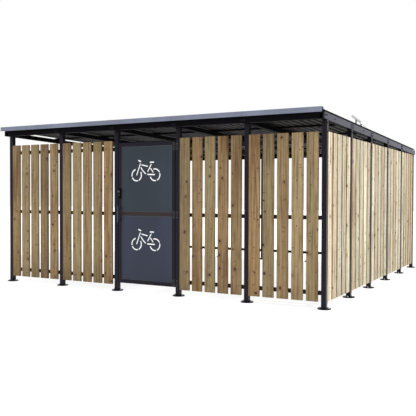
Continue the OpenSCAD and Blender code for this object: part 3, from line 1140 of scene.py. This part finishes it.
class SHELTER_OT_feet(bpy.types.Operator):
    """Adds a collar and two anchor nuts to each foot"""

    bl_idname = "shelter.feet"
    bl_label = "Feet"

    # The collar's overhang past the post, its height and the slope round its top.
    COLLAR_WIDTH = 0.004
    COLLAR_HEIGHT = 0.006
    COLLAR_SLOPE = 0.004
    NUT = 0.008
    STUD_RADIUS = 0.005
    STUD_HEIGHT = 0.016

    def execute(self, context):
        lines_x, lines_y, half = post_lines()
        foot_low, foot_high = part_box("front_feet")
        top = foot_high[2]
        radius = lines_x[0] - foot_low[0]
        posts = self.standing_posts(lines_x, lines_y, radius)
        self.add_collars(posts, half, top)
        places = []
        step = (radius + half) / 2
        for x, y in posts:
            along_x = y in (lines_y[0], lines_y[-1])
            for side in (-step, step):
                shift = (side, 0) if along_x else (0, side)
                places.append(at(x + shift[0], y + shift[1], top))
        nut = hex_bolt(context.scene.shelter_fixings.anchor_radius, self.NUT)
        stud = round_edges(add_rod(self.STUD_RADIUS, self.STUD_HEIGHT), 0.0008, 1)
        anchors = repeat(join([nut, stud]), places)
        finish_piece(anchors, "foot_anchors", SHELTER, finishes()["zinc"])
        return {"FINISHED"}

    def standing_posts(self, lines_x, lines_y, radius):
        """The x and y of every post round the outside that has a foot."""
        crossings = {(x, y) for x in (lines_x[0], lines_x[-1]) for y in lines_y}
        crossings |= {(x, y) for x in lines_x for y in (lines_y[0], lines_y[-1])}
        edges = [
            corner for node in ("front_feet", "right_feet", "left_feet", "back_feet")
            for corner in corners_of(node)
        ]
        just_past = 1.01 * radius
        return [
            (x, y) for x, y in sorted(crossings)
            if any(math.hypot(edge.x - x, edge.y - y) < just_past for edge in edges)
        ]

    def add_collars(self, posts, half, top):
        """A low square collar round the bottom of each post."""
        reach = half + self.COLLAR_WIDTH
        collar = add_box((-reach, -reach, 0), (reach, reach, self.COLLAR_HEIGHT))
        select_facing(collar, (0, 0, 1))
        bpy.ops.mesh.inset(thickness=self.COLLAR_SLOPE, depth=self.COLLAR_SLOPE)
        leave_edit()
        collars = repeat(collar, [at(x, y, top) for x, y in posts])
        finish_piece(collars, "foot_collars", SHELTER, finishes()["dark_paint"])


class SHELTER_OT_roof_screws(bpy.types.Operator):
    """Fixes the roof sheet to the purlins through every second rib"""

    bl_idname = "shelter.roof_screws"
    bl_label = "Roof screws"

    # Half the width of a purlin, which its row of screws is centred on.
    HALF_PURLIN = 0.025
    # The thickness of a washer, and the radius and height of the head that sinks into it.
    WASHER = 0.002
    HEAD_RADIUS = 0.0055
    HEAD_HEIGHT = 0.006
    SUNK = 0.0002

    def execute(self, context):
        fixings = context.scene.shelter_fixings
        radius = fixings.roof_screw_radius
        pitch = fixings.rib_pitch
        roof = roof_place()
        side_lines, half = post_lines()[1:]
        start = side_lines[0] - half
        low, high = roof_box("roof_sheet")
        purlin_low, purlin_high = roof_box("purlins")
        rows = [y - start for y in side_lines[1:-1]]
        rows += [purlin_low[1] + self.HALF_PURLIN, purlin_high[1] - self.HALF_PURLIN]
        ribs = int((high[0] - low[0]) / pitch)
        first = (low[0] + high[0]) / 2 - (ribs // 2) * pitch
        places = [
            roof @ at(first + i * pitch, y, high[2])
            for i in range(0, ribs + 1, 2) for y in rows
            if low[0] + radius < first + i * pitch < high[0] - radius
        ]
        washer = round_edges(add_rod(radius, self.WASHER, sides=12), 0.0006, 1)
        foot = (0, 0, self.WASHER - self.SUNK)
        head = round_edges(add_rod(self.HEAD_RADIUS, self.HEAD_HEIGHT, foot, sides=6), 0.0006, 1)
        screws = repeat(join([washer, head]), places)
        finish_piece(screws, "roof_screws", SHELTER, finishes()["zinc"])
        return {"FINISHED"}


class SHELTER_OT_panel_beads(bpy.types.Operator):
    """Frames each of the door's panels with a narrow bead"""

    bl_idname = "shelter.panel_beads"
    bl_label = "Panel beads"

    def execute(self, context):
        for place in ("upper", "lower"):
            self.add_bead(f"door_{place}_panel", f"door_{place}_bead", context.scene.shelter_door)
        return {"FINISHED"}

    def add_bead(self, node, name, door):
        """A frame on the panel's face: a flat box inset on both sides and opened through."""
        low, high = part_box(node)
        bead = add_box((low[0], low[1] - door.bead_depth, low[2]), (high[0], low[1], high[2]))
        for side in (-1, 1):
            select_facing(bead, (0, side, 0))
            bpy.ops.mesh.inset(thickness=door.bead_width)
            leave_edit()
        middle_x, middle_z = (low[0] + high[0]) / 2, (low[2] + high[2]) / 2
        close = 0.01
        select_faces(bead, lambda face: abs(face.normal.y) > SQUARELY
                     and abs(face.center.x - middle_x) < close
                     and abs(face.center.z - middle_z) < close)
        bpy.ops.mesh.bridge_edge_loops()
        leave_edit()
        round_edges(bead, 0.0012, 1)
        finish_piece(bead, name, DOOR, finishes()["bead_paint"])


class SHELTER_OT_bicycle_signs(bpy.types.Operator):
    """Puts a stencilled bicycle on each of the door's panels"""

    bl_idname = "shelter.bicycle_signs"
    bl_label = "Bicycle signs"

    # Stencil strokes in millimetres from the sign's middle, right and up: straight ones as
    # both ends and a width, round ones as centre, radius, both angles in degrees and a width.
    STRAIGHT = (
        ((-92, 104), (-157, -64), 13),
        ((-127, 148), (-80, 128), 17),
        ((-73, 83), (34, 60), 14),
        ((94, 92), (31, -16), 13),
        ((70, 117), (138, 117), 17),
        ((79, 34), (126, -26), 13),
        ((27, -53), (152, -57), 17),
    )
    ROUND = (
        ((-156, -62), 81, 103, 193, 15),
        ((-156, -62), 81, 205, 285, 15),
        ((-156, -62), 81, 297, 393, 15),
        ((155, -60), 82, 24, 108, 15),
        ((155, -60), 82, -65, 13, 15),
        ((155, -60), 82, 199, 280, 15),
        ((141, 168), 254, 208, 237, 14),
    )
    DRAWN_WIDTH = 490
    # How far a sign's middle lies to the left of its panel's, in metres.
    ASIDE = 0.01
    # The rounding of a straight stroke's corners, as a share of its width.
    EASE = 0.28
    # Straight steps in a round stroke.
    STEPS = 14

    def execute(self, context):
        door = context.scene.shelter_door
        for place, rise in (("upper", door.upper_rise), ("lower", door.lower_rise)):
            low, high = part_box(f"door_{place}_panel")
            x = (low[0] + high[0]) / 2 - self.ASIDE
            self.add_sign(Vector((x, low[1], low[2] + rise)), f"{place}_bicycle_sign", door)
        return {"FINISHED"}

    def add_sign(self, middle, name, door):
        """One bicycle, each stroke a thin raised bar."""
        unit = door.sign_width / self.DRAWN_WIDTH
        proud = door.sign_proud / unit
        bars = [self.straight_bar(*stroke, proud) for stroke in self.STRAIGHT]
        bars += [self.round_bar(*stroke, proud) for stroke in self.ROUND]
        sign = join(bars)
        sign.data.transform(Matrix.Translation(middle) @ Matrix.Scale(unit, 4))
        sign.data.update()
        finish_piece(sign, name, DOOR, finishes()["white_film"])

    def straight_bar(self, first, last, width, proud):
        """A straight stroke with eased ends."""
        run = Vector((last[0] - first[0], last[1] - first[1]))
        slope = math.atan2(run.y, run.x)
        bar = add_box((0, -proud, -width / 2), (run.length, 0, width / 2))
        self.ease_ends(bar, width)
        bar.data.transform(
            Matrix.Translation((first[0], 0, first[1])) @ Matrix.Rotation(-slope, 4, "Y")
        )
        return bar

    def ease_ends(self, bar, width):
        """Rounds the four corners of a stroke's outline."""
        activate(bar)
        bpy.ops.object.mode_set(mode="EDIT")
        bpy.ops.mesh.select_mode(type="EDGE")
        bpy.ops.mesh.select_all(action="DESELECT")
        leave_edit()
        for edge in bar.data.edges:
            ends = [bar.data.vertices[i].co for i in edge.vertices]
            edge.select = abs(ends[0].y - ends[1].y) > 1e-6
        bpy.ops.object.mode_set(mode="EDIT")
        bpy.ops.mesh.bevel(offset=width * self.EASE, segments=3, affect="EDGES")
        leave_edit()

    def round_bar(self, centre, radius, start, end, width, proud):
        """A round stroke: its cross-section spun about the centre."""
        deselect()
        bpy.ops.mesh.primitive_plane_add(size=1)
        bar = bpy.context.object
        bar.scale = (width, proud, 1)
        settle(bar)
        bar.data.transform(
            Matrix.Translation((centre[0], 0, centre[1]))
            @ Matrix.Rotation(-math.radians(start), 4, "Y")
            @ Matrix.Translation((radius, -proud / 2, 0))
        )
        activate(bar)
        bpy.ops.object.mode_set(mode="EDIT")
        bpy.ops.mesh.select_all(action="SELECT")
        bpy.ops.mesh.spin(
            steps=self.STEPS, angle=math.radians(end - start),
            center=(centre[0], 0, centre[1]), axis=(0, 1, 0),
        )
        bpy.ops.mesh.select_all(action="SELECT")
        bpy.ops.mesh.remove_doubles(threshold=0.001)
        bpy.ops.mesh.normals_make_consistent(inside=False)
        leave_edit()
        return bar


class SHELTER_OT_door_lock(bpy.types.Operator):
    """Builds the lock case with its knob and key barrel"""

    bl_idname = "shelter.door_lock"
    bl_label = "Door lock"

    # How high up the case the knob and the barrel sit, as shares of its height.
    KNOB_AT = 0.68
    BARREL_AT = 0.33

    def execute(self, context):
        door = context.scene.shelter_door
        low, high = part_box("lock_case")
        case = round_edges(add_box(low, high), 0.004, 3)
        finish_piece(case, "lock_body", DOOR, finishes()["shaded_paint"],
                     ("lock_case",))
        x, face = (low[0] + high[0]) / 2, low[1]
        span = high[2] - low[2]
        knob = self.make_knob(door.knob_radius)
        knob.data.transform(at(x, face, low[2] + span * self.KNOB_AT, FRONT))
        finish_piece(knob, "lock_knob", DOOR, finishes()["dark_screw"])
        barrel = self.make_barrel()
        barrel.data.transform(at(x, face, low[2] + span * self.BARREL_AT, FRONT))
        finish_piece(barrel, "lock_barrel", DOOR, finishes()["dark_screw"])
        return {"FINISHED"}

    def make_knob(self, radius):
        """A knob with a dished face, on a flat rose."""
        knob = add_rod(radius, 0.024, sides=32)
        sink_face(knob, (0, 0, 1), 0.003, 0.002)
        round_edges(knob, 0.0012, 2)
        rose = round_edges(add_rod(radius * 1.35, 0.004, sides=32), 0.001, 2)
        return join([rose, knob])

    def make_barrel(self):
        """The round end of a key barrel, with its slit."""
        height = 0.005
        barrel = round_edges(add_rod(0.0085, height, sides=24), 0.0008, 2)
        slit = add_box((-0.0012, -0.005, height - 0.0005), (0.0012, 0.005, height + 0.0004))
        return join([barrel, slit])


class SHELTER_OT_hinge_screws(bpy.types.Operator):
    """Screws the hinge plates down"""

    bl_idname = "shelter.hinge_screws"
    bl_label = "Hinge screws"

    # A hinge plate's height, and how far its face lies in front of the hinges' back.
    PLATE = 0.1
    SETBACK = 0.005
    # Where the screws sit: outwards from the pin, and up and down from the plate's middle.
    REACHES = (0.020, 0.036)
    LIFTS = (-0.034, 0.034)

    def execute(self, context):
        for node, body in (("door_hinges", DOOR), ("post_hinges", SHELTER)):
            self.add_screws(node, body)
        return {"FINISHED"}

    def add_screws(self, node, body):
        """Four heads on each of the three plates of one body's hinges."""
        low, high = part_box(node)
        joint_x = frame["joints"][0]["pos_m"][0]
        outward = -1 if body == DOOR else 1
        face = high[1] - self.SETBACK
        lower = low[2]
        upper = high[2] - self.PLATE
        middle = (lower + upper) / 2
        places = [
            at(joint_x + outward * reach, face, foot + self.PLATE / 2 + lift, FRONT)
            for foot in (lower, middle, upper)
            for reach in self.REACHES for lift in self.LIFTS
        ]
        head = round_edges(add_rod(0.0042, 0.0014, sides=12), 0.0007, 1)
        screws = repeat(head, places)
        finish_piece(screws, f"{node}_screws", body, finishes()["dark_screw"])


class SHELTER_OT_solar_panel(bpy.types.Operator):
    """Builds the solar panel: a folded frame with cells under glass"""

    bl_idname = "shelter.solar_panel"
    bl_label = "Solar panel"

    # The frame's rim round the glass and round its open back, and how deep each is sunk.
    RIM = 0.014
    BACK_RIM = 0.022
    GLASS_SUNK = 0.003
    BACK_SUNK = 0.010
    # The glass overlaps the frame's floor by a little, and stays below its rim.
    GLASS_LOW = 0.0035
    GLASS_HIGH = 0.0015
    # Rounds of correction that bring the leaning panel's box to its node's box.
    ROUNDS = 6

    def execute(self, context):
        solar = context.scene.shelter_solar
        thickness = solar.thickness
        low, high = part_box("solar_panel")
        turn = (
            roof_place().to_3x3().to_4x4()
            @ Matrix.Rotation(solar.lean, 4, "Y") @ Matrix.Rotation(-solar.tilt, 4, "X")
        )
        wide, deep = self.measure(low, high, turn, thickness)
        place = self.shift_to(low, turn, (wide, deep, thickness)) @ turn
        panel = add_box((-wide, -deep, 0), (0, 0, thickness))
        sink_face(panel, (0, 0, 1), self.RIM, self.GLASS_SUNK)
        sink_face(panel, (0, 0, -1), self.BACK_RIM, self.BACK_SUNK)
        round_edges(panel, 0.001, 1)
        panel.data.transform(place)
        finish_piece(panel, "solar_frame", SHELTER,
                     finishes()["panel_aluminium"], ("solar_panel",))
        glass = round_edges(add_box(
            (-wide + self.RIM, -deep + self.RIM, thickness - self.GLASS_LOW),
            (-self.RIM, -self.RIM, thickness - self.GLASS_HIGH),
        ), 0.0004, 1)
        glass.data.transform(place)
        cells = cell_material([low[axis] + self.RIM for axis in (0, 1)],
                              [high[axis] - self.RIM for axis in (0, 1)])
        finish_piece(glass, "solar_glass", SHELTER, cells)
        return {"FINISHED"}

    def measure(self, low, high, turn, thickness):
        """The width and depth of the panel that fills its node's box when it leans."""
        across, along = high[0] - low[0], high[1] - low[1]
        wide, deep = across, along
        for _ in range(self.ROUNDS):
            wide = (across - deep * abs(turn[0][1]) - thickness * abs(turn[0][2])) / turn[0][0]
            deep = (along - wide * abs(turn[1][0]) - thickness * abs(turn[1][2])) / turn[1][1]
        return wide, deep

    def shift_to(self, low, turn, size):
        """The move that brings the turned panel's lowest corner to low."""
        wide, deep, thickness = size
        corners = [
            turn @ Vector((-wide * i, -deep * j, thickness * k))
            for i in (0, 1) for j in (0, 1) for k in (0, 1)
        ]
        return Matrix.Translation([
            low[axis] - min(corner[axis] for corner in corners) for axis in range(3)
        ])


class SHELTER_PT_sidebar(bpy.types.Panel):
    """Lists the shelter's settings and steps"""

    bl_idname = "SHELTER_PT_sidebar"
    bl_label = "Bike Shelter"
    bl_space_type = "VIEW_3D"
    bl_region_type = "UI"
    bl_category = "Shelter"

    def draw(self, context):
        for key, group in SETTINGS.items():
            box = self.layout.box()
            box.label(text=group.__doc__)
            for name in group.__annotations__:
                box.prop(getattr(context.scene, key), name)
        for operator in OPERATORS:
            self.layout.operator(operator.bl_idname)


OPERATORS = (
    SHELTER_OT_stage,
    SHELTER_OT_steelwork,
    SHELTER_OT_boards,
    SHELTER_OT_board_screws,
    SHELTER_OT_frame_bolts,
    SHELTER_OT_side_plates,
    SHELTER_OT_feet,
    SHELTER_OT_roof_screws,
    SHELTER_OT_panel_beads,
    SHELTER_OT_bicycle_signs,
    SHELTER_OT_door_lock,
    SHELTER_OT_hinge_screws,
    SHELTER_OT_solar_panel,
)


def register():
    """Registers the settings, the operators and the panel."""
    for key, group in SETTINGS.items():
        bpy.utils.register_class(group)
        setattr(bpy.types.Scene, key, PointerProperty(type=group))
    for item in OPERATORS + (SHELTER_PT_sidebar,):
        bpy.utils.register_class(item)


def unregister():
    """Takes everything back out."""
    for item in (SHELTER_PT_sidebar,) + OPERATORS[::-1]:
        bpy.utils.unregister_class(item)
    for key, group in SETTINGS.items():
        delattr(bpy.types.Scene, key)
        bpy.utils.unregister_class(group)


def main():
    """Registers everything and builds every piece in order."""
    register()
    for operator in OPERATORS:
        group, name = operator.bl_idname.split(".")
        getattr(getattr(bpy.ops, group), name)()


if __name__ == "__main__":
    main()
